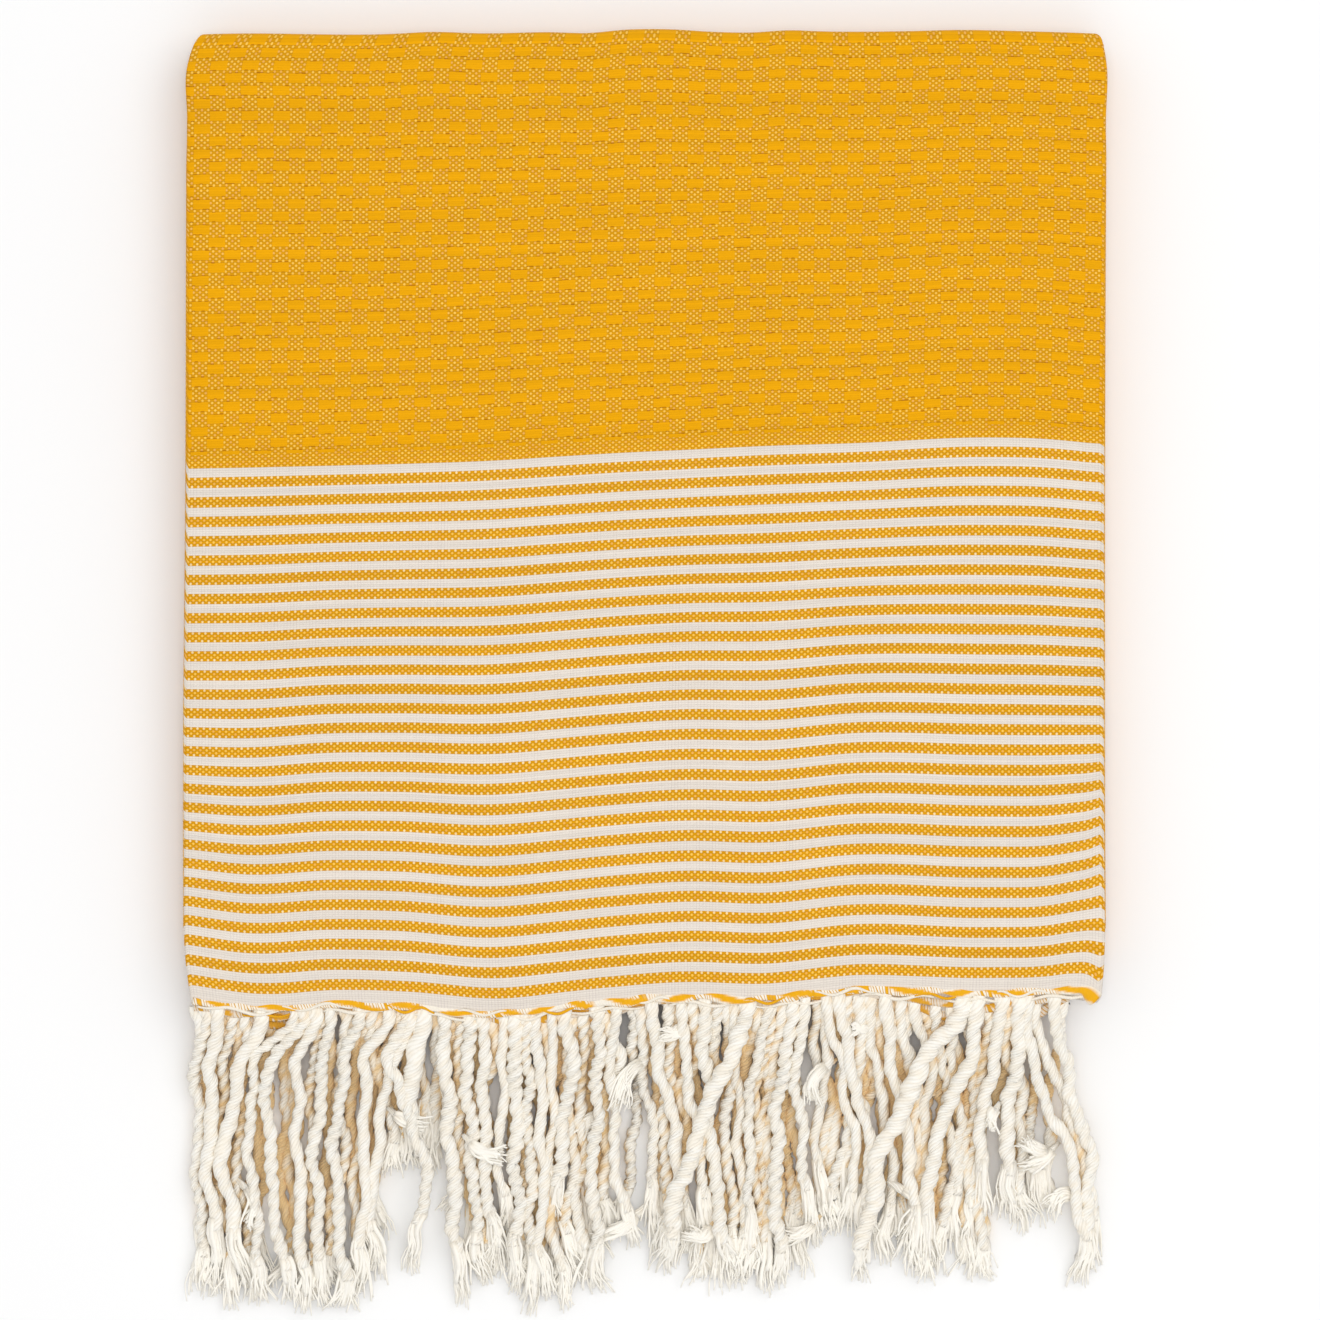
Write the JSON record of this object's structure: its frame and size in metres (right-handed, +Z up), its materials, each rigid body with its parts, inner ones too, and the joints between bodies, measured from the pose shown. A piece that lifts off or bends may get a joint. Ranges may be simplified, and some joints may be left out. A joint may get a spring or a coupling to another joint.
{
  "type": "folded hammam towel",
  "caption": "Flat-woven hammam towel with a twisted cord fringe, folded across its width and to and fro along its length, lying flat with its fringe in front",
  "frame": {"origin": "Middle of the bounding box's base, on the surface the towel lies on", "axes": "+X to the right across the folded towel, +Y from the fringe to the folded far end, +Z up out of the towel's face"},
  "size_m": [0.3362, 0.4628, 0.0254],
  "materials": {
    "woven_cotton": "flat weave, small honeycomb check in golden yellow above yellow and white stripes",
    "twisted_cotton": "soft two-ply twist in natural cream, ends open in tufts"
  },
  "bodies": {
    "root": {"cloth": "woven_cotton", "fringe_front_low": "twisted_cotton", "fringe_front_mid": "twisted_cotton", "fringe_front_top": "twisted_cotton", "fringe_rear_low": "twisted_cotton", "fringe_rear_mid": "twisted_cotton", "fringe_rear_top": "twisted_cotton"}
  },
  "joints": []
}
